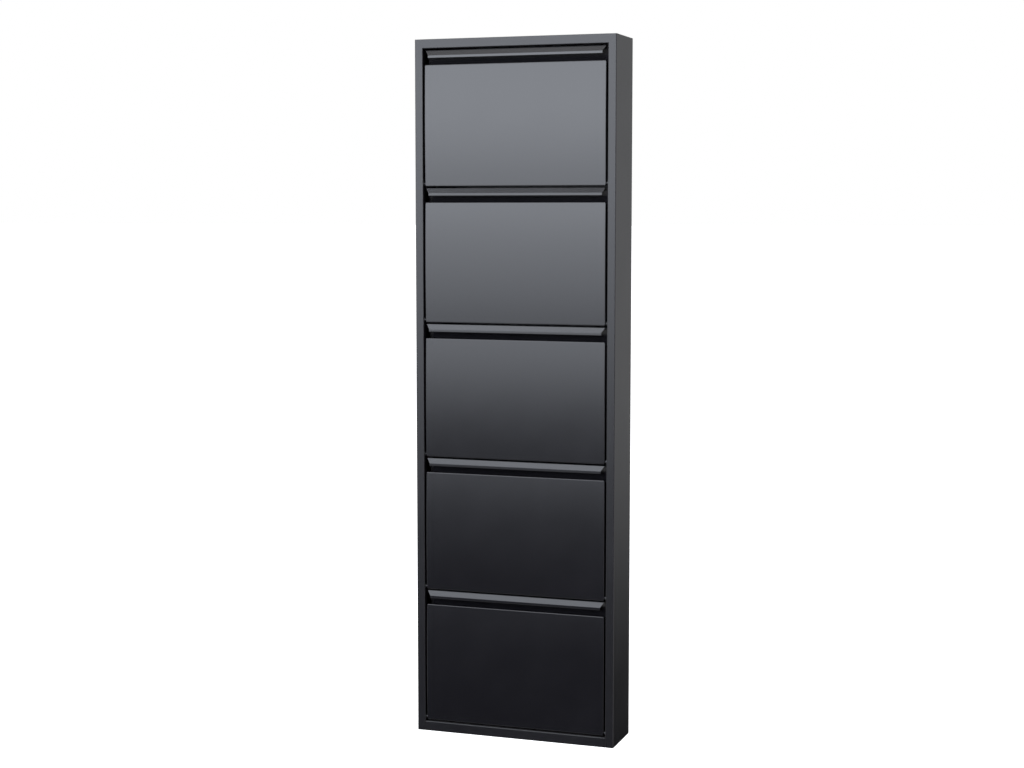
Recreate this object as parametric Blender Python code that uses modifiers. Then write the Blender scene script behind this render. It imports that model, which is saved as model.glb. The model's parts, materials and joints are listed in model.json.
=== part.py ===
"""Slim five-flap shoe cabinet, folded sheet steel. Metres, +Z up, front towards -Y, origin bottom centre."""

import math

import bmesh
import bpy
from mathutils import Matrix, Vector

# Driving dimensions
WIDTH = 0.500
DEPTH = 0.140
HEIGHT = 1.680
SHEET = 0.0008
SIDE_FLANGE = 0.020
TOP_RAIL = 0.022
BOTTOM_RAIL = 0.024
FLAP_COUNT = 5
FLAP_GAP = 0.004
FLAP_SIDE_GAP = 0.0045
FIT_GAP = 0.0003

# Grip along the top edge of a flap
LIP_HEIGHT = 0.019
NOSE_HEIGHT = 0.006
GROOVE_HEIGHT = 0.0145
GROOVE_DEPTH = 0.034
GROOVE_FALL = 0.0145
GROOVE_TOP_DEPTH = 0.018
LIP_SETBACK = 0.0055
LIP_MITRE = 0.0075
LIP_HEM = 0.005

# Bin behind a flap, measured back from the front plane and up from the foot of its cell
TRAY_FLOOR_RISE = 0.0124
TRAY_FLOOR_END = 0.1005
TRAY_TOP_DEPTH = 0.1265
TRAY_TOP_RISE = 0.193
CHEEK_TOP_RISE = 0.270

# Hinge at a flap's lower corners
PIVOT_DEPTH = 0.008
PIVOT_RISE = 0.008
PIN_RADIUS = 0.0025
PIN_HEAD_RADIUS = 0.0032
PIN_CLEARANCE = 0.0003
BUSH_RADIUS = 0.0040
BUSH_FLANGE_RADIUS = 0.0055
RETURN_DEPTH = 0.018
STOP_TAB_WIDTH = 0.012

BEND_STEPS = 3
ROUND_STEPS = 12

# Worked out from the values above
HALF_WIDTH = WIDTH / 2
HALF_SHEET = SHEET / 2
FRONT = -DEPTH / 2
BACK = DEPTH / 2
OPENING_HALF = HALF_WIDTH - SIDE_FLANGE
FLAP_HALF = OPENING_HALF - FLAP_SIDE_GAP
FIRST_CELL = BOTTOM_RAIL + FLAP_GAP / 2
PITCH = (HEIGHT - TOP_RAIL - FLAP_GAP / 2 - FIRST_CELL) / FLAP_COUNT
FLAP_BOTTOM = FLAP_GAP / 2
FLAP_TOP = PITCH - FLAP_GAP / 2
CHEEK_X = FLAP_HALF - SHEET - FIT_GAP - HALF_SHEET
SIDES = {"left": -1, "right": 1}


def clear_scene():
    for obj in list(bpy.data.objects):
        bpy.data.objects.remove(obj)


def new_collection(name):
    collection = bpy.data.collections.new(name)
    bpy.context.scene.collection.children.link(collection)
    return collection


def new_material(name, color, roughness, metallic=0.0):
    material = bpy.data.materials.new(name)
    material.use_nodes = True
    shader = material.node_tree.nodes["Principled BSDF"]
    shader.inputs["Base Color"].default_value = (*color, 1.0)
    shader.inputs["Roughness"].default_value = roughness
    shader.inputs["Metallic"].default_value = metallic
    return material


def new_object(name, bm, material, collection=None, parent=None):
    """Turn a bmesh into an object; a child of a flap's axis is measured from that flap's cell foot."""
    mesh = bpy.data.meshes.new(name)
    bmesh.ops.recalc_face_normals(bm, faces=bm.faces)
    bm.to_mesh(mesh)
    bm.free()
    obj = bpy.data.objects.new(name, mesh)
    (collection or PARTS).objects.link(obj)
    if material:
        mesh.materials.append(material)
    if parent:
        obj.parent = parent
        obj.location = (0, -PIVOT_DEPTH, -PIVOT_RISE)
    mesh.shade_smooth()
    mesh.set_sharp_from_angle(angle=math.radians(40))
    return obj


def add_sheet_thickness(obj, offset=0.0):
    solid = obj.modifiers.new("sheet", "SOLIDIFY")
    solid.thickness = SHEET
    solid.offset = offset
    solid.use_even_offset = True
    solid.use_quality_normals = True


def rounded(profile):
    """Replace each corner (u, v, radius, low, high) by the arc that touches both of its sides."""
    points = [profile[0]]
    for before, corner, after in zip(profile, profile[1:], profile[2:], strict=False):
        radius = corner[2]
        if radius == 0:
            points.append(corner)
            continue
        tip = Vector(corner[:2])
        back = (Vector(before[:2]) - tip).normalized()
        ahead = (Vector(after[:2]) - tip).normalized()
        half_angle = back.angle(ahead) / 2
        centre = tip + (back + ahead).normalized() * radius / math.sin(half_angle)
        start = tip + back * radius / math.tan(half_angle) - centre
        turn = start.angle_signed(tip + ahead * radius / math.tan(half_angle) - centre)
        for step in range(BEND_STEPS + 1):
            spoke = Matrix.Rotation(-turn * step / BEND_STEPS, 2) @ start
            points.append((*(centre + spoke), 0, *corner[3:]))
    points.append(profile[-1])
    return points


def folded_strip(profile, upright=False):
    """A bmesh strip that follows the profile; it runs along X, or along Z when it is upright."""
    bm = bmesh.new()
    rows = []
    for u, v, _, low, high in rounded(profile):
        ends = ((u, v, low), (u, v, high)) if upright else ((low, u, v), (high, u, v))
        rows.append([bm.verts.new(end) for end in ends])
    for row, following in zip(rows, rows[1:], strict=False):
        bm.faces.new((row[0], row[1], following[1], following[0]))
    return bm, rows


def across(y, z, radius, half):
    """A profile point of a strip that runs along X, centred on the cabinet."""
    return (y, z, radius, -half, half)


def turned(name, outline, material, parent, x, y, z, direction):
    """Turn an outline of (radius, distance) round a line that starts at x, y, z and runs along direction."""
    bm = bmesh.new()
    verts = [bm.verts.new((radius, 0, distance)) for radius, distance in reversed(outline)]
    for vert, following in zip(verts, verts[1:], strict=False):
        bm.edges.new((vert, following))
    if outline[0][0] > 0:
        bm.edges.new((verts[-1], verts[0]))
    obj = new_object(name, bm, material, parent=parent)
    obj.location += Vector((x, y, z))
    obj.rotation_euler = Vector(direction).to_track_quat("Z", "Y").to_euler()
    screw = obj.modifiers.new("turn", "SCREW")
    screw.steps = ROUND_STEPS
    screw.render_steps = ROUND_STEPS
    screw.use_merge_vertices = True
    screw.merge_threshold = 0.00005
    screw.use_smooth_shade = True
    return obj


def cut(obj, bm, parent=None):
    """Cut a closed bmesh out of an object."""
    cutter = new_object(f"cut_{obj.name}_{len(CUTTERS.objects)}", bm, None, CUTTERS, parent)
    cutter.hide_render = True
    cutter.display_type = "WIRE"
    boolean = obj.modifiers.new("hole", "BOOLEAN")
    boolean.object = cutter
    boolean.solver = "EXACT"


def drill(obj, centre, radius, axis, parent=None):
    """A round hole along a row axis, through one sheet."""
    bm = bmesh.new()
    turn = Vector(axis).to_track_quat("Z", "Y").to_matrix().to_4x4()
    bmesh.ops.create_cone(
        bm, cap_ends=True, segments=ROUND_STEPS, radius1=radius, radius2=radius, depth=SHEET * 5,
        matrix=Matrix.Translation(centre) @ turn,
    )
    cut(obj, bm, parent)


def cell_foot(index):
    """Height of the foot of a flap's cell; flap 1 is the top one."""
    return FIRST_CELL + (FLAP_COUNT - index) * PITCH


# Carcass: two side panels, top and bottom panels between them, and a back panel


def make_side_panel(side, sign):
    plate_room = SHEET + FIT_GAP
    web = sign * (HALF_WIDTH - HALF_SHEET)
    flange_edge = sign * (OPENING_HALF + HALF_SHEET)
    rear = BACK - SHEET - FIT_GAP - HALF_SHEET
    front = FRONT + HALF_SHEET
    corner_relief = 0.003
    full = (0, HEIGHT)
    short = (plate_room, HEIGHT - plate_room)
    profile = [
        (flange_edge, rear, 0, *full),
        (web, rear, 0.0012, *full),
        (web, front, 0.0015, *full),
        (sign * (OPENING_HALF + corner_relief), front, 0, *full),
        (flange_edge, front, 0.0012, *short),
        (flange_edge, FRONT + RETURN_DEPTH, 0, *short),
    ]
    bm, _ = folded_strip(profile, upright=True)
    panel = new_object(f"side_panel_{side}", bm, POWDER_COAT)
    add_sheet_thickness(panel)
    for index in range(1, FLAP_COUNT + 1):
        hole = (flange_edge, FRONT + PIVOT_DEPTH, cell_foot(index) + PIVOT_RISE)
        drill(panel, hole, BUSH_RADIUS + FIT_GAP, (1, 0, 0))


def make_end_panel(name, plate_z, rail_height, inward):
    """Top or bottom panel: a plate between the side panels, with a front rail and a rear flange."""
    between_webs = HALF_WIDTH - SHEET - FIT_GAP
    between_flanges = OPENING_HALF - FIT_GAP
    rear = BACK - 2 * (SHEET + FIT_GAP) - HALF_SHEET - FIT_GAP
    front = FRONT + HALF_SHEET
    behind_flange = FRONT + SHEET + FIT_GAP
    rail_edge = plate_z + inward * (rail_height - SHEET)
    profile = [
        across(rear, plate_z + inward * 0.015, 0, OPENING_HALF),
        across(rear, plate_z, 0.0012, between_webs),
        across(behind_flange + 0.0005, plate_z, 0, between_webs),
        across(behind_flange + 0.0003, plate_z, 0, between_flanges),
        across(front, plate_z, 0.0006, between_flanges),
        across(front, rail_edge, 0.0015, between_flanges),
        across(front + 0.012, rail_edge, 0, between_flanges),
    ]
    bm, _ = folded_strip(profile)
    add_sheet_thickness(new_object(name, bm, POWDER_COAT))


def make_back_panel():
    bm = bmesh.new()
    bmesh.ops.create_cube(
        bm, size=1.0,
        matrix=Matrix.Translation((0, BACK - HALF_SHEET, HEIGHT / 2))
        @ Matrix.Diagonal((WIDTH - SHEET, SHEET, HEIGHT - SHEET, 1)),
    )
    panel = new_object("back_panel", bm, POWDER_COAT)
    for x in (-0.150, 0.150):
        add_keyhole(panel, x, HEIGHT - 0.060)


def add_keyhole(panel, x, z):
    """A wall-fixing keyhole: a round opening for a screw's head with a narrow slot above it."""
    head_radius = 0.005
    slot_width = 0.005
    slot_height = 0.012
    depth = BACK - HALF_SHEET
    drill(panel, (x, depth, z), head_radius, (0, 1, 0))
    bm = bmesh.new()
    bmesh.ops.create_cube(
        bm, size=1.0,
        matrix=Matrix.Translation((x, depth, z + slot_height / 2))
        @ Matrix.Diagonal((slot_width, SHEET * 4, slot_height, 1)),
    )
    cut(panel, bm)


def make_bush(index, side, sign):
    """Flanged plastic bearing in the side panel's inner return."""
    bore = PIN_RADIUS + PIN_CLEARANCE
    outline = [
        (bore, 0.0),
        (BUSH_FLANGE_RADIUS, 0.0),
        (BUSH_FLANGE_RADIUS, 0.0014),
        (BUSH_RADIUS, 0.0014),
        (BUSH_RADIUS, 0.0075),
        (bore, 0.0075),
    ]
    turned(
        f"hinge_bush_{index}_{side}", outline, NYLON, None,
        sign * (OPENING_HALF - FIT_GAP - 0.0014), FRONT + PIVOT_DEPTH, cell_foot(index) + PIVOT_RISE,
        (sign, 0, 0),
    )


# Flap: everything is measured back from the front plane and up from the foot of the flap's cell


def make_flap_axis(index):
    axis = bpy.data.objects.new(f"flap_{index}_axis", None)
    PARTS.objects.link(axis)
    axis.location = (0, FRONT + PIVOT_DEPTH, cell_foot(index) + PIVOT_RISE)
    return axis


def make_flap_front(index, axis):
    """Front sheet: bottom return, face, finger groove, sloping lip, nose and hem, with shallow side returns.

    The groove falls away behind the face and its wall leans forward to the lip, so it holds a fingertip.
    """
    half = FLAP_HALF - HALF_SHEET
    mitred = half - LIP_MITRE
    face = HALF_SHEET
    top = FLAP_TOP - HALF_SHEET
    nose_bottom = FLAP_TOP - LIP_HEIGHT + HALF_SHEET
    groove_floor = FLAP_TOP - LIP_HEIGHT - GROOVE_HEIGHT - HALF_SHEET
    profile = [
        across(0.012, FLAP_BOTTOM + HALF_SHEET, 0, half),
        across(face, FLAP_BOTTOM + HALF_SHEET, 0.0012, half),
        across(face, groove_floor, 0.0030, half),
        across(GROOVE_DEPTH, groove_floor - GROOVE_FALL, 0.0020, half),
        across(GROOVE_TOP_DEPTH, top, 0.0015, half),
        across(LIP_SETBACK, top, 0.0012, half),
        across(face, nose_bottom + NOSE_HEIGHT, 0.0012, mitred),
        across(face, nose_bottom, 0.0010, mitred),
        across(LIP_HEM, nose_bottom, 0, mitred),
    ]
    bm, rows = folded_strip(profile)
    face_foot = rows[1 + BEND_STEPS]
    face_head = rows[2 + BEND_STEPS]
    for low, high in zip(face_foot, face_head, strict=True):
        behind = [bm.verts.new(vert.co + Vector((0, 0.0045 - face, 0))) for vert in (high, low)]
        bm.faces.new((low, high, *behind))
    add_sheet_thickness(new_object(f"flap_{index}_front", bm, POWDER_COAT, parent=axis))


def make_tray(index, axis):
    """Shoe tray: front upstand, floor, leaning back plate and top hem."""
    half = CHEEK_X - HALF_SHEET - FIT_GAP
    upstand = SHEET + FIT_GAP + HALF_SHEET
    profile = [
        across(upstand, 0.030, 0, half),
        across(upstand, TRAY_FLOOR_RISE, 0.0020, half),
        across(TRAY_FLOOR_END, TRAY_FLOOR_RISE, 0.0040, half),
        across(TRAY_TOP_DEPTH, TRAY_TOP_RISE, 0.0020, half),
        across(TRAY_TOP_DEPTH - 0.009, TRAY_TOP_RISE + 0.0013, 0, half),
    ]
    bm, _ = folded_strip(profile)
    add_sheet_thickness(new_object(f"flap_{index}_tray", bm, POWDER_COAT, parent=axis))


def make_cheek(index, axis, side, sign):
    """Side plate of the bin, with a stop tab turned outwards at the upper end of its rear edge."""
    front = SHEET + 0.0005
    foot = FLAP_BOTTOM + SHEET + 0.0009
    rear_foot = (TRAY_FLOOR_END + 0.001, foot)
    rear_head = (TRAY_TOP_DEPTH + 0.002, TRAY_TOP_RISE + 0.002)
    tab_share = 0.75
    tab_foot = tuple(a + (b - a) * tab_share for a, b in zip(rear_foot, rear_head, strict=True))
    outline = [
        (front + 0.001, foot),
        rear_foot,
        tab_foot,
        rear_head,
        (rear_head[0] - 0.012, rear_head[1] + 0.009),
        (0.036, CHEEK_TOP_RISE - 0.006),
        (0.028, CHEEK_TOP_RISE),
        (front, CHEEK_TOP_RISE),
        (front, foot + 0.001),
    ]
    bm = bmesh.new()
    plate = [bm.verts.new((sign * CHEEK_X, y, z)) for y, z in outline]
    bm.faces.new(plate)
    tab = [bm.verts.new(vert.co + Vector((sign * STOP_TAB_WIDTH, 0, 0))) for vert in (plate[3], plate[2])]
    bm.faces.new((plate[2], plate[3], *tab))
    cheek = new_object(f"flap_{index}_cheek_{side}", bm, POWDER_COAT, parent=axis)
    add_sheet_thickness(cheek)
    drill(cheek, (sign * CHEEK_X, PIVOT_DEPTH, PIVOT_RISE), PIN_RADIUS + PIN_CLEARANCE, (1, 0, 0), axis)


def make_pin(index, axis, side, sign):
    """Hinge pin: a low head inside the cheek, and a shank that runs out through the bush."""
    inner = CHEEK_X - HALF_SHEET - FIT_GAP
    head = 0.0019
    length = OPENING_HALF + 0.0075 - inner + head
    outline = [
        (0.0, 0.0),
        (PIN_HEAD_RADIUS, 0.0),
        (PIN_HEAD_RADIUS, head),
        (PIN_RADIUS, head),
        (PIN_RADIUS, length - 0.0006),
        (PIN_RADIUS - 0.0006, length),
        (0.0, length),
    ]
    turned(
        f"flap_{index}_pin_{side}", outline, ZINC_STEEL, axis,
        sign * (inner - head), PIVOT_DEPTH, PIVOT_RISE, (sign, 0, 0),
    )


def make_buffer(index, axis, side, sign):
    """Rubber buffer behind the tray, which meets the back panel when the flap is closed."""
    start = TRAY_TOP_DEPTH + 0.0002
    length = DEPTH - SHEET - FIT_GAP - start
    outline = [
        (0.0, 0.0),
        (0.0065, 0.0),
        (0.0060, length - 0.0015),
        (0.0045, length),
        (0.0, length),
    ]
    turned(
        f"flap_{index}_buffer_{side}", outline, RUBBER, axis,
        sign * 0.160, start, TRAY_TOP_RISE - 0.014, (0, 1, 0),
    )


clear_scene()
PARTS = new_collection("shoe_cabinet")
CUTTERS = new_collection("cutters")
POWDER_COAT = new_material("powder_coat", (0.045, 0.047, 0.052), 0.38)
ZINC_STEEL = new_material("zinc_steel", (0.62, 0.62, 0.60), 0.30, metallic=1.0)
NYLON = new_material("black_nylon", (0.02, 0.02, 0.02), 0.45)
RUBBER = new_material("black_rubber", (0.015, 0.015, 0.015), 0.70)

for side_name, side_sign in SIDES.items():
    make_side_panel(side_name, side_sign)
make_end_panel("top_panel", HEIGHT - HALF_SHEET, TOP_RAIL, -1)
make_end_panel("bottom_panel", HALF_SHEET, BOTTOM_RAIL, 1)
make_back_panel()

for flap in range(1, FLAP_COUNT + 1):
    flap_axis = make_flap_axis(flap)
    make_flap_front(flap, flap_axis)
    make_tray(flap, flap_axis)
    for side_name, side_sign in SIDES.items():
        make_bush(flap, side_name, side_sign)
        make_cheek(flap, flap_axis, side_name, side_sign)
        make_pin(flap, flap_axis, side_name, side_sign)
        make_buffer(flap, flap_axis, side_name, side_sign)
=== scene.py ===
"""Slim five-flap shoe cabinet in satin black powder-coated steel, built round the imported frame."""

import json
import math

import bmesh
import bpy
from mathutils import Matrix, Vector


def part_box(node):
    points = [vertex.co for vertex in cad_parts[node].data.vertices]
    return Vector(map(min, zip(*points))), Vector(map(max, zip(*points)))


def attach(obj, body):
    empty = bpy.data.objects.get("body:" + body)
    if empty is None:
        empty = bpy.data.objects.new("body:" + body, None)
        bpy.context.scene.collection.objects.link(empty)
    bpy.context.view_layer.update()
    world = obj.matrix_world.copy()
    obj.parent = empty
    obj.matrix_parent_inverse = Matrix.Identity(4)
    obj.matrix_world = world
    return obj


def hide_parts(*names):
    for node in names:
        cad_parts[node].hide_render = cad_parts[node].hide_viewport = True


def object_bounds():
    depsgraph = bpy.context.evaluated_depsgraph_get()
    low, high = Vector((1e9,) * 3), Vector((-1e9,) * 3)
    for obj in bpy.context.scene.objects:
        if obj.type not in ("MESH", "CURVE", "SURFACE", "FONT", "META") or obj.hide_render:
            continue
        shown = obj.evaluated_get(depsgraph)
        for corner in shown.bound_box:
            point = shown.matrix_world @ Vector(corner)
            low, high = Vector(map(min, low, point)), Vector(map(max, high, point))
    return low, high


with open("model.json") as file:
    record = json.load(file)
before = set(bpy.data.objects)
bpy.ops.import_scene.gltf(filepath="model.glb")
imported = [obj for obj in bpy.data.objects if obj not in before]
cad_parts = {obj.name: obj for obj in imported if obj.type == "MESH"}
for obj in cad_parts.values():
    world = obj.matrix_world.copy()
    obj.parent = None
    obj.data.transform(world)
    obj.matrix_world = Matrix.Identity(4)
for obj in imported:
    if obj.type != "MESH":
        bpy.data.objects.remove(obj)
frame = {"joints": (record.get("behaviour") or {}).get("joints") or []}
cad_low, cad_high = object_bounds()

# Sizes read from the frame
FRONT, BACK = cad_low[1], cad_high[1]
HEIGHT = cad_high[2]
HALF_WIDTH = cad_high[0]
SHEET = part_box("back_panel")[1][1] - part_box("back_panel")[0][1]
HALF_SHEET = SHEET / 2
OPENING_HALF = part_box("side_panel_right")[0][0]
TOP_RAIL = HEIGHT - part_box("top_panel")[0][2]
BOTTOM_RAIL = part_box("bottom_panel")[1][2]
PANEL_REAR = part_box("side_panel_right")[1][1]
FLAPS = {joint["child"]: Vector(joint["pos_m"]) for joint in frame["joints"]}
PIVOT = FLAPS["flap_1"]
FACE_LOW, FACE_HIGH = (Vector(corner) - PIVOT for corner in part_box("flap_1_front"))
TRAY_LOW, TRAY_HIGH = (Vector(corner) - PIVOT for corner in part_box("flap_1_tray"))
CHEEK_LOW, CHEEK_HIGH = (Vector(corner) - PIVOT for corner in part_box("flap_1_cheek_right"))
SIDES = {"left": -1, "right": 1}

# Sizes of the folds, in metres
FIT_GAP = 0.0003
RETURN_DEPTH = 0.018
LIP_HEIGHT = 0.019
NOSE_HEIGHT = 0.006
GROOVE_HEIGHT = 0.0145
GROOVE_DEPTH = 0.034
GROOVE_FALL = 0.0145
GROOVE_TOP_DEPTH = 0.018
LIP_SETBACK = 0.0055
LIP_MITRE = 0.0075
LIP_HEM = 0.005
FACE_CROWN = 0.0018
FACE_SIDE_BEND = 0.0014
BEND = 0.0012
BEND_STEPS = 8
EDGE_ROUND = 0.00018
SHARP_ANGLE = math.radians(35)
PUNCH_REACH = 0.003

# Sizes of the hinges, in metres
BUSH_BORE = 0.0028
BUSH_RADIUS = 0.0040
BUSH_COLLAR_RADIUS = 0.0055
BUSH_COLLAR = 0.0014
BUSH_LENGTH = 0.0075
PIN_RADIUS = 0.0025
PIN_REACH = 0.0075


# Mesh helpers


def make_object(name, bm, material, location=(0, 0, 0)):
    mesh = bpy.data.meshes.new(name)
    bmesh.ops.recalc_face_normals(bm, faces=bm.faces)
    bm.to_mesh(mesh)
    bm.free()
    mesh.materials.append(material)
    mesh.shade_smooth()
    mesh.set_sharp_from_angle(angle=SHARP_ANGLE)
    obj = bpy.data.objects.new(name, mesh)
    bpy.context.scene.collection.objects.link(obj)
    obj.location = location
    return obj


def apply_modifiers(obj):
    """Swap the object's mesh for its evaluated one, so that copies can share it."""
    depsgraph = bpy.context.evaluated_depsgraph_get()
    mesh = bpy.data.meshes.new_from_object(obj.evaluated_get(depsgraph))
    obj.modifiers.clear()
    obj.data = mesh


def thicken(obj):
    """Give a flat or folded surface the sheet's thickness, half to each side, and deburred edges."""
    solid = obj.modifiers.new("sheet", "SOLIDIFY")
    solid.thickness = SHEET
    solid.offset = 0
    solid.use_even_offset = True
    solid.use_quality_normals = True
    edge = obj.modifiers.new("deburred edge", "BEVEL")
    edge.width = EDGE_ROUND
    edge.segments = 2
    edge.limit_method = "ANGLE"
    edge.angle_limit = math.radians(60)
    edge.use_clamp_overlap = True
    flatten(obj)


def flatten(obj):
    """Let the broad faces set the shading, so that bends and holes don't shade across them."""
    normals = obj.modifiers.new("flat faces", "WEIGHTED_NORMAL")
    normals.keep_sharp = True
    normals.weight = 100


def rounded(profile, steps=BEND_STEPS):
    """Replace each inner corner (u, v, radius, low, high) by the arc that touches both of its sides."""
    points = [profile[0]]
    for before, corner, after in zip(profile, profile[1:], profile[2:], strict=False):
        radius = corner[2]
        if radius == 0:
            points.append(corner)
            continue
        tip = Vector(corner[:2])
        back = (Vector(before[:2]) - tip).normalized()
        ahead = (Vector(after[:2]) - tip).normalized()
        half_angle = back.angle(ahead) / 2
        centre = tip + (back + ahead).normalized() * radius / math.sin(half_angle)
        start = tip + back * radius / math.tan(half_angle) - centre
        turn = start.angle_signed(tip + ahead * radius / math.tan(half_angle) - centre)
        for step in range(steps + 1):
            spoke = Matrix.Rotation(-turn * step / steps, 2) @ start
            points.append((*(centre + spoke), 0, *corner[3:]))
    points.append(profile[-1])
    return points


def folded_strip(profile, upright=False):
    """A bmesh strip that follows the profile; it runs along X, or along Z when it is upright."""
    bm = bmesh.new()
    rows = []
    for u, v, _, low, high in rounded(profile):
        ends = ((u, v, low), (u, v, high)) if upright else ((low, u, v), (high, u, v))
        rows.append([bm.verts.new(end) for end in ends])
    for row, following in zip(rows, rows[1:], strict=False):
        bm.faces.new((row[0], row[1], following[1], following[0]))
    return bm, rows


def across(y, z, radius, half):
    """One point of a profile, with its bend radius, for a strip that is centred on X."""
    return (y, z, radius, -half, half)


def add_turned(bm, outline, place, steps=32):
    """Add an outline of (radius, distance), turned round the place's Z axis, as a closed body."""
    rings = []
    for radius, distance in outline:
        if radius == 0:
            rings.append([bm.verts.new(place @ Vector((0, 0, distance)))])
            continue
        ring = []
        for step in range(steps):
            turn = 2 * math.pi * step / steps
            point = Vector((radius * math.cos(turn), radius * math.sin(turn), distance))
            ring.append(bm.verts.new(place @ point))
        rings.append(ring)
    closed = rings + [rings[0]] if len(rings[0]) > 1 else rings
    for ring, following in zip(closed, closed[1:], strict=False):
        for step in range(steps):
            corners = [ring[step % len(ring)], ring[(step + 1) % len(ring)]]
            corners += [following[(step + 1) % len(following)], following[step % len(following)]]
            bm.faces.new(list(dict.fromkeys(corners)))


def soft_profile(outline, radius=0.0003, steps=3):
    """Round the corners of a turned outline."""
    return [(r, d) for r, d, *_ in rounded([(*point, radius, 0, 0) for point in outline], steps)]


def facing(place, direction):
    """The matrix that puts a turned piece at a place, with its Z axis along a direction."""
    return Matrix.Translation(place) @ Vector(direction).to_track_quat("Z", "Y").to_matrix().to_4x4()


def punch(obj, outline, axis):
    """Cut a flat outline of points out of an object, to both sides along X or Y."""
    bm = bmesh.new()
    reach = Vector((PUNCH_REACH, 0, 0)) if axis == "X" else Vector((0, PUNCH_REACH, 0))
    ends = [[bm.verts.new(Vector(point) + reach * sign) for point in outline] for sign in (-1, 1)]
    bm.faces.new(ends[0])
    bm.faces.new(reversed(ends[1]))
    for index in range(len(outline)):
        bm.faces.new((ends[0][index - 1], ends[0][index], ends[1][index], ends[1][index - 1]))
    cutter = make_object("cutter", bm, obj.data.materials[0])
    boolean = obj.modifiers.new("hole", "BOOLEAN")
    boolean.object = cutter
    apply_modifiers(obj)
    obj.data.set_sharp_from_angle(angle=SHARP_ANGLE)
    flatten(obj)
    apply_modifiers(obj)
    bpy.data.objects.remove(cutter)


def circle(centre, radius, axis, steps=32):
    """Points of a full circle, in the same planes as an arc."""
    return arc(centre, radius, axis, steps + 1, 0, 2 * math.pi)[:-1]


def arc(centre, radius, axis, count, start, sweep):
    """Points of an arc, both ends included, in the plane at right angles to the X or Y axis."""
    points = []
    for step in range(count):
        angle = start + sweep * step / (count - 1)
        u, z = radius * math.cos(angle), radius * math.sin(angle)
        points.append(Vector(centre) + (Vector((0, u, z)) if axis == "X" else Vector((u, 0, z))))
    return points


# Materials


def new_material(name, color, roughness, metallic=0.0):
    material = bpy.data.materials.new(name)
    material.use_nodes = True
    tree = material.node_tree
    shader = tree.nodes["Principled BSDF"]
    shader.inputs["Base Color"].default_value = (*color, 1.0)
    shader.inputs["Roughness"].default_value = roughness
    shader.inputs["Metallic"].default_value = metallic
    return material, tree, shader


def add_node(tree, kind, **values):
    """Add a node; a value goes to the input of that name, or else to the node's own setting."""
    node = tree.nodes.new(kind)
    for name, value in values.items():
        socket = node.inputs.get(name.replace("_", " ").title())
        if socket is None:
            setattr(node, name, value)
        else:
            socket.default_value = value
    return node


def noise(tree, coordinates, scale, detail=3.0, roughness=0.55):
    node = add_node(tree, "ShaderNodeTexNoise", scale=scale, detail=detail, roughness=roughness)
    tree.links.new(coordinates, node.inputs["Vector"])
    return node.outputs["Fac"]


def remap(tree, value, low, high, from_low=0.3, from_high=0.7, step="LINEAR"):
    """Bring a value from one range to another; most noise lies between 0.3 and 0.7."""
    node = add_node(tree, "ShaderNodeMapRange", interpolation_type=step)
    limits = {"From Min": from_low, "From Max": from_high, "To Min": low, "To Max": high}
    for name, number in limits.items():
        node.inputs[name].default_value = number
    tree.links.new(value, node.inputs["Value"])
    return node.outputs["Result"]


def combine(tree, operation, *values):
    """A Math node for one or two values, each a number or another node's output."""
    node = add_node(tree, "ShaderNodeMath", operation=operation)
    for socket, value in zip(node.inputs, values, strict=False):
        if isinstance(value, float):
            socket.default_value = value
        else:
            tree.links.new(value, socket)
    return node.outputs[0]


def mix_color(tree, factor, first, second):
    """Mix two colours, each a tuple or another node's output."""
    node = add_node(tree, "ShaderNodeMix", data_type="RGBA")
    tree.links.new(factor, node.inputs["Factor"])
    first_color, second_color = [socket for socket in node.inputs if socket.type == "RGBA"]
    for socket, value in ((first_color, first), (second_color, second)):
        if isinstance(value, tuple):
            socket.default_value = (*value, 1.0)
        else:
            tree.links.new(value, socket)
    return next(socket for socket in node.outputs if socket.type == "RGBA")


def add_bump(tree, shader, heights):
    """Chain bump nodes, one for each (height, strength, distance)."""
    normal = None
    for height, strength, distance in heights:
        bump = tree.nodes.new("ShaderNodeBump")
        bump.inputs["Strength"].default_value = strength
        bump.inputs["Distance"].default_value = distance
        tree.links.new(height, bump.inputs["Height"])
        if normal:
            tree.links.new(normal, bump.inputs["Normal"])
        normal = bump.outputs["Normal"]
    tree.links.new(normal, shader.inputs["Normal"])


def powder_coat(name, roughness, specular):
    """Satin black powder coat: a fine orange peel, faint blotches in its gloss, and dust on level faces."""
    darker, lighter = (0.0078, 0.0075, 0.0093), (0.0096, 0.0092, 0.0113)
    dust_color = (0.16, 0.155, 0.15)
    dust_share = 0.22
    gloss_spread = 0.012
    material, tree, shader = new_material(name, (0.0085, 0.0082, 0.0100), roughness)
    shader.inputs["Specular IOR Level"].default_value = specular
    coordinates = tree.nodes.new("ShaderNodeTexCoord").outputs["Object"]
    blotches = noise(tree, coordinates, 9.0, 4.0)
    peel = noise(tree, coordinates, 520.0, 2.0)
    grain = noise(tree, coordinates, 2400.0, 1.0)
    up = tree.nodes.new("ShaderNodeSeparateXYZ")
    tree.links.new(tree.nodes.new("ShaderNodeNewGeometry").outputs["Normal"], up.inputs[0])
    level = remap(tree, up.outputs["Z"], 0.0, dust_share, 0.80, 1.0)
    specks = remap(tree, noise(tree, coordinates, 60.0, 6.0, 0.7), 0.4, 1.0, 0.35, 0.65)
    tint = mix_color(tree, remap(tree, blotches, 0.0, 1.0), darker, lighter)
    dusty = mix_color(tree, combine(tree, "MULTIPLY", level, specks), tint, dust_color)
    tree.links.new(dusty, shader.inputs["Base Color"])
    gloss = remap(tree, blotches, roughness - gloss_spread, roughness + gloss_spread)
    tree.links.new(gloss, shader.inputs["Roughness"])
    add_bump(tree, shader, [(peel, 0.10, 0.0002), (grain, 0.08, 0.00005)])
    return material


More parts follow.
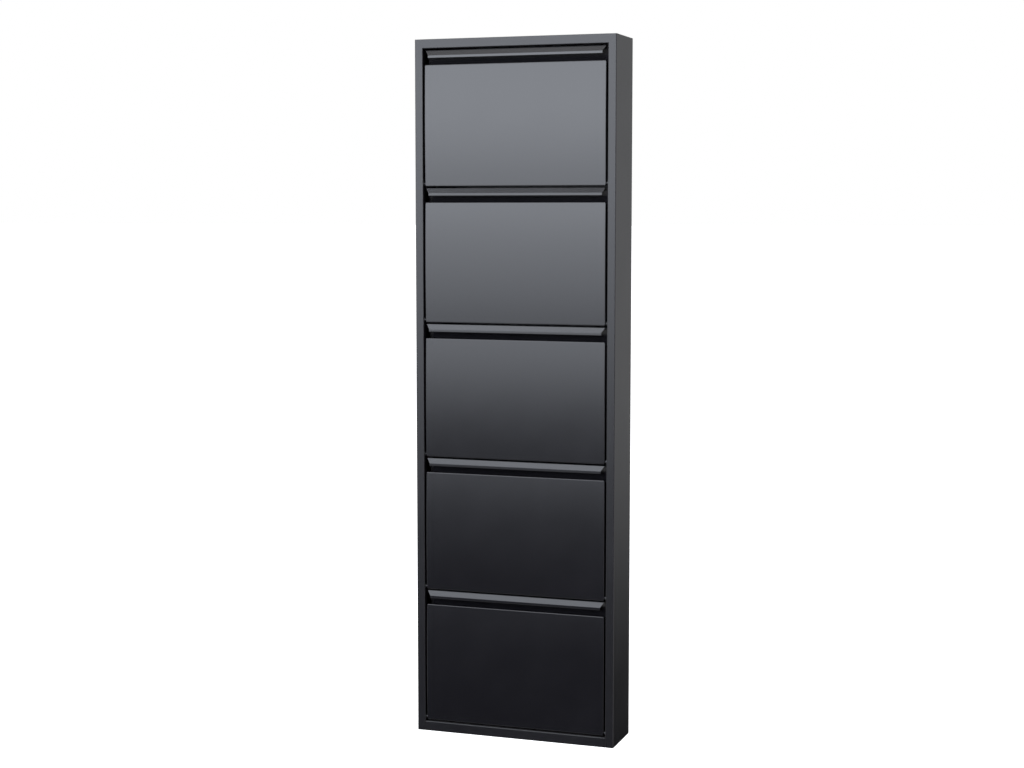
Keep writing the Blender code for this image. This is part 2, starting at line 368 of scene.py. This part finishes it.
def zinc_steel():
    """Zinc plate with a dark passivated finish and a fine grain."""
    material, tree, shader = new_material("zinc_steel", (0.10, 0.10, 0.11), 0.32, metallic=1.0)
    coordinates = tree.nodes.new("ShaderNodeTexCoord").outputs["Object"]
    cloud = noise(tree, coordinates, 260.0, 4.0)
    tree.links.new(remap(tree, cloud, 0.22, 0.40), shader.inputs["Roughness"])
    color = mix_color(tree, remap(tree, cloud, 0.0, 1.0), (0.08, 0.08, 0.09), (0.13, 0.13, 0.13))
    tree.links.new(color, shader.inputs["Base Color"])
    add_bump(tree, shader, [(noise(tree, coordinates, 1800.0, 2.0), 0.12, 0.00005)])
    return material


def plain_polymer(name, color, roughness, grain_scale, grain_strength):
    """Moulded nylon or rubber: faint clouds in its colour and gloss, and a fine grain."""
    gloss_spread = 0.06
    material, tree, shader = new_material(name, color, roughness)
    coordinates = tree.nodes.new("ShaderNodeTexCoord").outputs["Object"]
    cloud = noise(tree, coordinates, 140.0, 3.0)
    gloss = remap(tree, cloud, roughness - gloss_spread, roughness + gloss_spread)
    tree.links.new(gloss, shader.inputs["Roughness"])
    lighter = tuple(channel * 1.35 for channel in color)
    tree.links.new(mix_color(tree, remap(tree, cloud, 0.0, 1.0), color, lighter), shader.inputs["Base Color"])
    add_bump(tree, shader, [(noise(tree, coordinates, grain_scale, 2.0), grain_strength, 0.0001)])
    return material


MATERIALS = {
    "powder_coat": powder_coat("powder_coat", roughness=0.20, specular=0.5),
    "carcass_coat": powder_coat("carcass_coat", roughness=0.30, specular=0.42),
    "zinc_steel": zinc_steel(),
    "nylon": plain_polymer("nylon", (0.018, 0.018, 0.019), 0.42, 1500.0, 0.10),
    "rubber": plain_polymer("rubber", (0.014, 0.014, 0.014), 0.72, 900.0, 0.25),
}


def finish_piece(obj, body, slot, *nodes):
    """Attach a piece to the body that it rides and hide the nodes that it stands in for; slot is not used."""
    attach(obj, body)
    if nodes:
        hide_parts(*nodes)


# Carcass


def make_side(side, sign):
    """Side panel: rear flange, web, front flange and inner return, with the holes for the bushes."""
    web = sign * (HALF_WIDTH - HALF_SHEET)
    inner = sign * (OPENING_HALF + HALF_SHEET)
    front = FRONT + HALF_SHEET
    rear = PANEL_REAR - HALF_SHEET
    front_corner = 0.0018
    corner_relief = 0.003
    plate_room = SHEET + FIT_GAP
    full = (EDGE_ROUND, HEIGHT - EDGE_ROUND)
    short = (plate_room, HEIGHT - plate_room)
    profile = [
        (inner, rear, 0, *full),
        (web, rear, BEND, *full),
        (web, front, front_corner, *full),
        (sign * (OPENING_HALF + corner_relief), front, 0, *full),
        (inner, front, BEND, *short),
        (inner, FRONT + RETURN_DEPTH, 0, *short),
    ]
    bm, _ = folded_strip(profile, upright=True)
    panel = make_object(f"side_{side}", bm, MATERIALS["carcass_coat"])
    thicken(panel)
    apply_modifiers(panel)
    for pivot in FLAPS.values():
        punch(panel, circle((inner, pivot.y, pivot.z), BUSH_RADIUS + FIT_GAP, "X"), "X")
    finish_piece(panel, "cabinet", "carcass_coat", f"side_panel_{side}")


def make_end(name, node, plate_z, rail_height, inward):
    """Top or bottom panel: plate, front rail and rear flange; inward is 1 for up and -1 for down."""
    between_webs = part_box(node)[1][0]
    between_flanges = OPENING_HALF - FIT_GAP
    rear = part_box(node)[1][1] - HALF_SHEET
    front = FRONT + HALF_SHEET
    behind_flange = FRONT + SHEET + 2 * FIT_GAP
    notch = 0.0002
    rail_edge = plate_z + inward * (rail_height - SHEET)
    rear_flange = 0.015
    rail_return = 0.012
    profile = [
        across(rear, plate_z + inward * rear_flange, 0, OPENING_HALF),
        across(rear, plate_z, BEND, between_webs),
        across(behind_flange + notch, plate_z, 0, between_webs),
        across(behind_flange, plate_z, 0, between_flanges),
        across(front, plate_z, 0.0007, between_flanges),
        across(front, rail_edge, 0.0016, between_flanges),
        across(front + rail_return, rail_edge, 0, between_flanges),
    ]
    bm, _ = folded_strip(profile)
    panel = make_object(name, bm, MATERIALS["carcass_coat"])
    thicken(panel)
    finish_piece(panel, "cabinet", "carcass_coat", node)


def make_back():
    """Back sheet with two keyholes that open upwards."""
    keyhole_x = 0.150
    keyhole_z = HEIGHT - 0.060
    head_radius, slot_radius, slot_rise = 0.005, 0.0025, 0.0095
    mouth = math.asin(slot_radius / head_radius)
    low, high = (Vector(corner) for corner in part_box("back_panel"))
    middle = (low + high) / 2
    bm = bmesh.new()
    corners = ((low.x, low.z), (high.x, low.z), (high.x, high.z), (low.x, high.z))
    bm.faces.new([bm.verts.new((x, middle.y, z)) for x, z in corners])
    sheet = make_object("back_sheet", bm, MATERIALS["carcass_coat"])
    thicken(sheet)
    apply_modifiers(sheet)
    for x in (-keyhole_x, keyhole_x):
        head = arc((x, middle.y, keyhole_z), head_radius, "Y", 25, math.pi / 2 + mouth, 2 * (math.pi - mouth))
        slot_end = arc((x, middle.y, keyhole_z + slot_rise), slot_radius, "Y", 11, 0, math.pi)
        punch(sheet, [*head, *slot_end], "Y")
    finish_piece(sheet, "cabinet", "carcass_coat", "back_panel")


def make_back_rivets():
    """A row of low rivet heads down each edge of the back sheet."""
    outline = [(0.0, 0.0), (0.0028, 0.0), (0.0031, 0.0003), (0.0026, 0.0008), (0.0012, 0.0011), (0.0, 0.0011)]
    count = 12
    from_end = 0.030
    from_side = 0.010
    sunk = 0.0002
    bm = bmesh.new()
    for row in range(count):
        z = from_end + (HEIGHT - 2 * from_end) * row / (count - 1)
        for sign in SIDES.values():
            place = (sign * (HALF_WIDTH - from_side), BACK - sunk, z)
            add_turned(bm, outline, facing(place, (0, 1, 0)), 20)
    finish_piece(make_object("back_rivets", bm, MATERIALS["carcass_coat"]), "cabinet", "carcass_coat")


def make_weld_fill():
    """Ground and painted-over welds between the top rail and the two side flanges."""
    width = 0.0044
    proud, sunk = 0.00002, 0.0004
    joint_x = OPENING_HALF + 0.0005
    top, foot = HEIGHT - 0.0014, HEIGHT - TOP_RAIL + 0.0016
    size = Matrix.Diagonal((width, proud + sunk, top - foot, 1))
    bm = bmesh.new()
    for sign in SIDES.values():
        centre = (sign * joint_x, FRONT + (sunk - proud) / 2, (top + foot) / 2)
        bmesh.ops.create_cube(bm, size=1.0, matrix=Matrix.Translation(centre) @ size)
    finish_piece(make_object("weld_fill", bm, MATERIALS["carcass_coat"]), "cabinet", "carcass_coat")


def make_bush(side, sign, body, pivot):
    """Nylon bush in the side panel's return, with its collar in the opening."""
    outline = soft_profile(
        [
            (BUSH_BORE, 0.0),
            (BUSH_COLLAR_RADIUS, 0.0),
            (BUSH_COLLAR_RADIUS, BUSH_COLLAR),
            (BUSH_RADIUS, BUSH_COLLAR),
            (BUSH_RADIUS, BUSH_LENGTH),
            (BUSH_BORE, BUSH_LENGTH),
        ]
    )
    bm = bmesh.new()
    start = (sign * (OPENING_HALF - FIT_GAP - BUSH_COLLAR), pivot.y, pivot.z)
    add_turned(bm, outline, facing(start, (sign, 0, 0)))
    number = body.split("_")[1]
    bush = make_object(f"bush_{number}_{side}", bm, MATERIALS["nylon"])
    finish_piece(bush, "cabinet", "nylon", f"hinge_bush_{number}_{side}")


# Flap, built round its hinge axis and then set at each joint


def face_mesh():
    """Front sheet: bottom return, crowned face, finger groove, sloping lip, nose and hem, side returns."""
    bottom_return = 0.012
    side_return_depth = 0.0042
    half = FACE_HIGH.x - HALF_SHEET - FACE_SIDE_BEND
    mitred = half - LIP_MITRE
    face = FACE_LOW.y + HALF_SHEET
    foot = FACE_LOW.z + HALF_SHEET
    top = FACE_HIGH.z - HALF_SHEET
    nose_bottom = FACE_HIGH.z - LIP_HEIGHT + HALF_SHEET
    groove_floor = FACE_HIGH.z - LIP_HEIGHT - GROOVE_HEIGHT - HALF_SHEET
    clear_of_bends = 0.0035
    crowned = groove_floor - foot - 2 * clear_of_bends
    edge = face + FACE_CROWN * (1 + 4 * clear_of_bends / crowned)
    rows_up = 12
    crown = []
    for row in range(rows_up + 1):
        share = row / rows_up
        z = foot + clear_of_bends + crowned * share
        crown.append(across(face + FACE_CROWN * (2 * share - 1) ** 2, z, 0, half))
    profile = [
        across(edge + bottom_return, foot, 0, half),
        across(edge, foot, 0.0014, half),
        *crown,
        across(edge, groove_floor, 0.0014, half),
        across(FACE_LOW.y + GROOVE_DEPTH, groove_floor - GROOVE_FALL, 0.0020, half),
        across(FACE_LOW.y + GROOVE_TOP_DEPTH, top, 0.0015, half),
        across(face + LIP_SETBACK, top, BEND, half),
        across(face, nose_bottom + NOSE_HEIGHT, BEND, mitred),
        across(face, nose_bottom, 0.0010, mitred),
        across(face + LIP_HEM, nose_bottom, 0, mitred),
    ]
    bm, rows = folded_strip(profile)
    rows_below_crown = 1 + (BEND_STEPS + 1)
    face_rows = rows[rows_below_crown:rows_below_crown + len(crown)]
    for sign, end in ((-1, 0), (1, 1)):
        sections = [side_return(bm, row[end], sign, edge + side_return_depth) for row in face_rows]
        for low, high in zip(sections, sections[1:], strict=False):
            for column in range(len(low) - 1):
                bm.faces.new((low[column], low[column + 1], high[column + 1], high[column]))
    # Cuts near both ends keep the shading of the broad middle apart from that of the side bends
    for sign in SIDES.values():
        place = (sign * (mitred - 0.003), 0, 0)
        geometry = [*bm.verts, *bm.edges, *bm.faces]
        bmesh.ops.bisect_plane(bm, geom=geometry, dist=0.000001, plane_co=place, plane_no=(1, 0, 0))
    return bm


def side_return(bm, corner, sign, rear):
    """The points of one level of a side return: a bend from the face's edge, then straight back."""
    points = [corner]
    for step in range(1, BEND_STEPS + 1):
        angle = math.pi / 2 * step / BEND_STEPS
        x = corner.co.x + sign * FACE_SIDE_BEND * math.sin(angle)
        y = corner.co.y + FACE_SIDE_BEND * (1 - math.cos(angle))
        points.append(bm.verts.new((x, y, corner.co.z)))
    points.append(bm.verts.new((points[-1].co.x, rear, corner.co.z)))
    return points


def tray_mesh():
    """Shoe tray: front upstand behind the crowned face, floor, leaning back plate and rolled top hem."""
    upstand = 0.0176
    lean = 0.0265
    hem_width, hem_drop = 0.0094, 0.0050
    half = TRAY_HIGH.x
    front = TRAY_LOW.y + FACE_CROWN + HALF_SHEET
    floor = TRAY_LOW.z + HALF_SHEET
    rear = TRAY_HIGH.y
    top = TRAY_HIGH.z - 0.0005
    profile = [
        across(front, floor + upstand, 0, half),
        across(front, floor, 0.0020, half),
        across(rear - lean, floor, 0.0050, half),
        across(rear - HALF_SHEET, top, 0.0018, half),
        across(rear - hem_width, top - 0.0006, 0.0016, half),
        across(rear - hem_width - 0.0004, top - hem_drop, 0, half),
    ]
    bm, _ = folded_strip(profile)
    return bm


def cheek_outline():
    """Corners (y, z, radius) from the hinge axis; the stop tab runs from the third to the fourth."""
    front, rear = CHEEK_LOW.y + FACE_CROWN, CHEEK_HIGH.y - 0.0004
    foot, head = CHEEK_LOW.z, CHEEK_HIGH.z
    rear_foot = (rear - 0.027, foot)
    rear_head = (rear, TRAY_HIGH.z + 0.0006)
    tab_share = 0.75
    tab_foot = tuple(a + (b - a) * tab_share for a, b in zip(rear_foot, rear_head, strict=True))
    return [
        (front + 0.0010, foot, 0),
        (*rear_foot, 0.004),
        (*tab_foot, 0),
        (*rear_head, 0),
        (rear_head[0] - 0.010, rear_head[1] + 0.0085, 0.006),
        (FACE_LOW.y + 0.028, head, 0.004),
        (front, head, 0),
        (front, foot + 0.0010, 0),
    ]


def cheek_mesh(sign):
    """Side plate of the bin with its stop tab and a stiffening flange along the sloping upper edge."""
    middle = sign * (CHEEK_LOW.x + HALF_SHEET)
    tab_reach = CHEEK_HIGH.x - CHEEK_LOW.x - HALF_SHEET
    flange_reach = 0.005
    numbered = [(y, z, radius, corner, 0) for corner, (y, z, radius) in enumerate(cheek_outline())]
    arc_steps = 4
    points = rounded(numbered, arc_steps)
    bm = bmesh.new()
    plate = [bm.verts.new((middle, y, z)) for y, z, *_ in points]
    bm.faces.new(plate)
    first_point = {point[3]: index for index, point in reversed(list(enumerate(points)))}
    tab_foot = first_point[2]
    folds = [(tab_foot, tab_foot + 1, sign * tab_reach)]
    # The flange follows the slope between the middles of its two rounded corners
    slope = range(first_point[4] + arc_steps // 2, first_point[5] + arc_steps // 2)
    folds += [(index, index + 1, -sign * flange_reach) for index in slope]
    for first, second, reach in folds:
        step = Vector((reach, 0, 0))
        turned_out = [bm.verts.new(plate[i].co + step) for i in (second, first)]
        bm.faces.new((plate[first], plate[second], *turned_out))
    bmesh.ops.remove_doubles(bm, verts=bm.verts, dist=0.00001)
    return bm


def pin_mesh(sign):
    """Hinge pin with a low domed head, a chamfered end and a groove for its spring clip."""
    inner = CHEEK_LOW.x - FIT_GAP
    head = 0.0019
    waist = 0.0020
    clip_width = 0.0008
    length = OPENING_HALF + PIN_REACH - inner + head
    clip = length - 0.0022
    outline = [
        (0.0, 0.0),
        (0.0022, 0.0),
        (0.0030, 0.0004),
        (0.0032, 0.0009),
        (0.0032, head),
        (PIN_RADIUS, head),
        (PIN_RADIUS, clip),
        (waist, clip),
        (waist, clip + clip_width),
        (PIN_RADIUS, clip + clip_width),
        (PIN_RADIUS, length - 0.0005),
        (waist, length),
        (0.0, length),
    ]
    bm = bmesh.new()
    add_turned(bm, outline, facing((sign * (inner - head), 0, 0), (sign, 0, 0)))
    return bm


def buffer_mesh(sign):
    """Rubber buffer with a waisted body and a soft rounded nose."""
    box_low, box_high = (Vector(corner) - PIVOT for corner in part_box("flap_1_buffer_right"))
    length = box_high.y - box_low.y
    radius = (box_high.x - box_low.x) / 2
    centre = (box_low + box_high) / 2
    outline = soft_profile(
        [
            (0.0, 0.0),
            (radius, 0.0),
            (radius, 0.0022),
            (radius * 0.82, 0.0034),
            (radius * 0.80, length - 0.0036),
            (radius * 0.70, length - 0.0006),
            (radius * 0.45, length),
            (0.0, length),
        ],
        0.0005,
    )
    bm = bmesh.new()
    add_turned(bm, outline, facing((sign * centre.x, box_low.y, centre.z), (0, 1, 0)))
    return bm


def rivet_mesh(sign):
    """Low rivet heads outside the cheek, where it is fixed to the tray and to the face's side return."""
    surface = CHEEK_LOW.x + SHEET
    outline = [
        (0.0, -0.0002),
        (0.0022, -0.0002),
        (0.0023, 0.0002),
        (0.0018, 0.0006),
        (0.0008, 0.0008),
        (0.0, 0.0008),
    ]
    front, foot = TRAY_LOW.y, TRAY_LOW.z
    floor_length = TRAY_HIGH.y - 0.030 - front
    plate_foot = TRAY_HIGH.y - 0.0335
    along_floor = [(front + share * floor_length, foot + 0.006) for share in (0.25, 0.55, 0.90)]
    up_plate = [(plate_foot + 0.020 * share, foot + 0.170 * share) for share in (0.35, 0.62)]
    up_front = [(front + 0.009, foot + rise) for rise in (0.060, 0.140, 0.220)]
    bm = bmesh.new()
    for y, z in along_floor + up_plate + up_front:
        add_turned(bm, outline, facing((sign * surface, y, z), (sign, 0, 0)), 16)
    return bm


def flap_pieces():
    """(name, mesh maker, material and slot, replaced node or None, whether it is sheet) for one flap."""
    pieces = [
        ("front", face_mesh, "powder_coat", "front", True),
        ("tray", tray_mesh, "powder_coat", "tray", True),
    ]
    for side, sign in SIDES.items():
        pieces += [
            (f"cheek_{side}", lambda sign=sign: cheek_mesh(sign), "powder_coat", f"cheek_{side}", True),
            (f"rivets_{side}", lambda sign=sign: rivet_mesh(sign), "powder_coat", None, False),
            (f"pin_{side}", lambda sign=sign: pin_mesh(sign), "zinc_steel", f"pin_{side}", False),
            (f"buffer_{side}", lambda sign=sign: buffer_mesh(sign), "rubber", f"buffer_{side}", False),
        ]
    return pieces


def make_flaps():
    """Build each mesh once; the five flaps share it as separate pieces."""
    for name, build, slot, node, is_sheet in flap_pieces():
        shared = make_object(name, build(), MATERIALS[slot])
        if is_sheet:
            thicken(shared)
            apply_modifiers(shared)
        mesh = shared.data
        bpy.data.objects.remove(shared)
        for body, pivot in FLAPS.items():
            obj = bpy.data.objects.new(f"{body.replace('flap', 'door')}_{name}", mesh)
            bpy.context.scene.collection.objects.link(obj)
            obj.location = pivot
            finish_piece(obj, body, slot, *([f"{body}_{node}"] if node else []))


for side_name, side_sign in SIDES.items():
    make_side(side_name, side_sign)
    for flap_body, flap_pivot in FLAPS.items():
        make_bush(side_name, side_sign, flap_body, flap_pivot)
make_end("lid", "top_panel", HEIGHT - HALF_SHEET, TOP_RAIL, -1)
make_end("plinth", "bottom_panel", HALF_SHEET, BOTTOM_RAIL, 1)
make_back()
make_back_rivets()
make_weld_fill()
make_flaps()


# Studio

CAMERA_PLACE = (1.435, -4.222, 1.274)
CAMERA_TURN = (84.66, 0, 19.12)
LENS = 65.18

# World light: each is a soft step of strength over one coordinate of the direction, which runs from -1 to 1
SKY = {"edge": (-0.26, -0.09), "strength": (0.0, 0.48)}
ROOM = {"edge": (-0.35, 0.35), "strength": (0.18, 1.0)}
WALLS = {"edge": (0.60, 0.95), "strength": (0.0, 1.5)}
GROUND = {"edge": (-0.38, -0.65), "strength": (0.0, 0.7)}
FLOOR_GLOW = 0.95

KEY_X, KEY_Y = -1.2, -5.0
KEY_BOTTOM, KEY_TOP = -1.4, 6.2
KEY_WIDTH = 5.6
KEY_STRENGTH = 6.8
KEY_COLOR = (0.95, 1.0, 1.09)
# The key softbox's share of its strength at heights above the floor, in metres
KEY_LEVELS = (
    (-0.9, 0.0),
    (-0.4, 0.02),
    (-0.1, 0.05),
    (0.2, 0.09),
    (0.5, 0.36),
    (0.8, 0.46),
    (1.2, 0.56),
    (1.7, 0.88),
    (2.3, 0.88),
    (3.2, 0.50),
    (4.8, 0.54),
    (5.8, 0.82),
)


def emission(name, strength, color):
    """A material that only gives light."""
    material = bpy.data.materials.new(name)
    material.use_nodes = True
    tree = material.node_tree
    tree.nodes.clear()
    light = add_node(tree, "ShaderNodeEmission", color=(*color, 1.0), strength=strength)
    output = tree.nodes.new("ShaderNodeOutputMaterial")
    tree.links.new(light.outputs[0], output.inputs["Surface"])
    return material, tree, light


def softbox(name, location, target, width, height, strength, color, levels=None):
    """A softbox that the camera doesn't see; levels are (share of its height, share of its strength)."""
    material, tree, light = emission(name, strength, color)
    if levels:
        place = tree.nodes.new("ShaderNodeSeparateXYZ")
        tree.links.new(tree.nodes.new("ShaderNodeTexCoord").outputs["Object"], place.inputs[0])
        ramp = tree.nodes.new("ShaderNodeValToRGB")
        ramp.color_ramp.interpolation = "EASE"
        tree.links.new(combine(tree, "ADD", place.outputs["Y"], 0.5), ramp.inputs["Fac"])
        stops = ramp.color_ramp.elements
        for index, (share, level) in enumerate(levels):
            # A new ramp has two stops already
            stop = stops[index] if index < 2 else stops.new(share)
            stop.position = share
            stop.color = (level, level, level, 1.0)
        power = combine(tree, "MULTIPLY", ramp.outputs["Color"], strength)
        tree.links.new(power, light.inputs["Strength"])
    bm = bmesh.new()
    bmesh.ops.create_grid(bm, x_segments=1, y_segments=1, size=0.5)
    panel = make_object(name, bm, material, location)
    panel.scale = (width, height, 1)
    back_to_light = Vector(location) - Vector(target)
    panel.rotation_euler = back_to_light.to_track_quat("Z", "Y").to_euler()
    panel.visible_camera = False
    panel.visible_shadow = False


def make_softboxes():
    height = KEY_TOP - KEY_BOTTOM
    middle = (KEY_TOP + KEY_BOTTOM) / 2
    levels = [((z - KEY_BOTTOM) / height, level) for z, level in KEY_LEVELS]
    place, target = (KEY_X, KEY_Y, middle), (0, 0, middle)
    softbox("key_softbox", place, target, KEY_WIDTH, height, KEY_STRENGTH, KEY_COLOR, levels)
    softbox("overhead_softbox", (0, -1.2, 4.6), (0, -0.6, 0), 4.0, 2.6, 1.6, (1.0, 1.0, 1.0))


def make_floor():
    """A floor that only the camera sees, so that it is as white as the background."""
    bm = bmesh.new()
    bmesh.ops.create_grid(bm, x_segments=1, y_segments=1, size=150.0)
    material, _, shader = new_material("studio_floor", (0.86, 0.86, 0.86), 0.9)
    shader.inputs["Specular IOR Level"].default_value = 0.0
    shader.inputs["Emission Color"].default_value = (1.0, 1.0, 1.0, 1.0)
    shader.inputs["Emission Strength"].default_value = FLOOR_GLOW
    floor = make_object("studio_floor", bm, material)
    floor.visible_glossy = False
    floor.visible_diffuse = False


def soft_step(tree, value, edge, strength):
    """A soft step of strength, from its first value to its second, between the two values of the edge."""
    return remap(tree, value, *strength, *edge, "SMOOTHSTEP")


def make_world():
    """White to the camera; otherwise pale walls at both sides, a room dim at the front, and a lit floor."""
    world = bpy.data.worlds.new("studio")
    bpy.context.scene.world = world
    world.use_nodes = True
    tree = world.node_tree
    tree.nodes.clear()
    place = tree.nodes.new("ShaderNodeSeparateXYZ")
    tree.links.new(tree.nodes.new("ShaderNodeTexCoord").outputs["Generated"], place.inputs[0])
    sideways, depth, height = place.outputs
    room = combine(tree, "MULTIPLY", soft_step(tree, height, **SKY), soft_step(tree, depth, **ROOM))
    walls = soft_step(tree, combine(tree, "ABSOLUTE", sideways), **WALLS)
    ground = soft_step(tree, height, **GROUND)
    total = combine(tree, "ADD", room, combine(tree, "ADD", walls, ground))
    sky = add_node(tree, "ShaderNodeBackground", color=(0.97, 0.98, 1.0, 1.0))
    tree.links.new(total, sky.inputs["Strength"])
    white = add_node(tree, "ShaderNodeBackground", color=(1.0, 1.0, 1.0, 1.0))
    choose = tree.nodes.new("ShaderNodeMixShader")
    tree.links.new(tree.nodes.new("ShaderNodeLightPath").outputs["Is Camera Ray"], choose.inputs[0])
    tree.links.new(sky.outputs[0], choose.inputs[1])
    tree.links.new(white.outputs[0], choose.inputs[2])
    output = tree.nodes.new("ShaderNodeOutputWorld")
    tree.links.new(choose.outputs[0], output.inputs["Surface"])


def make_camera():
    camera = bpy.data.cameras.new("camera")
    camera.lens = LENS
    camera.sensor_width = 36.0
    obj = bpy.data.objects.new("camera", camera)
    bpy.context.scene.collection.objects.link(obj)
    obj.location = CAMERA_PLACE
    obj.rotation_euler = [math.radians(angle) for angle in CAMERA_TURN]
    bpy.context.scene.camera = obj


make_world()
make_floor()
make_camera()
make_softboxes()
bpy.context.scene.view_settings.view_transform = "Standard"
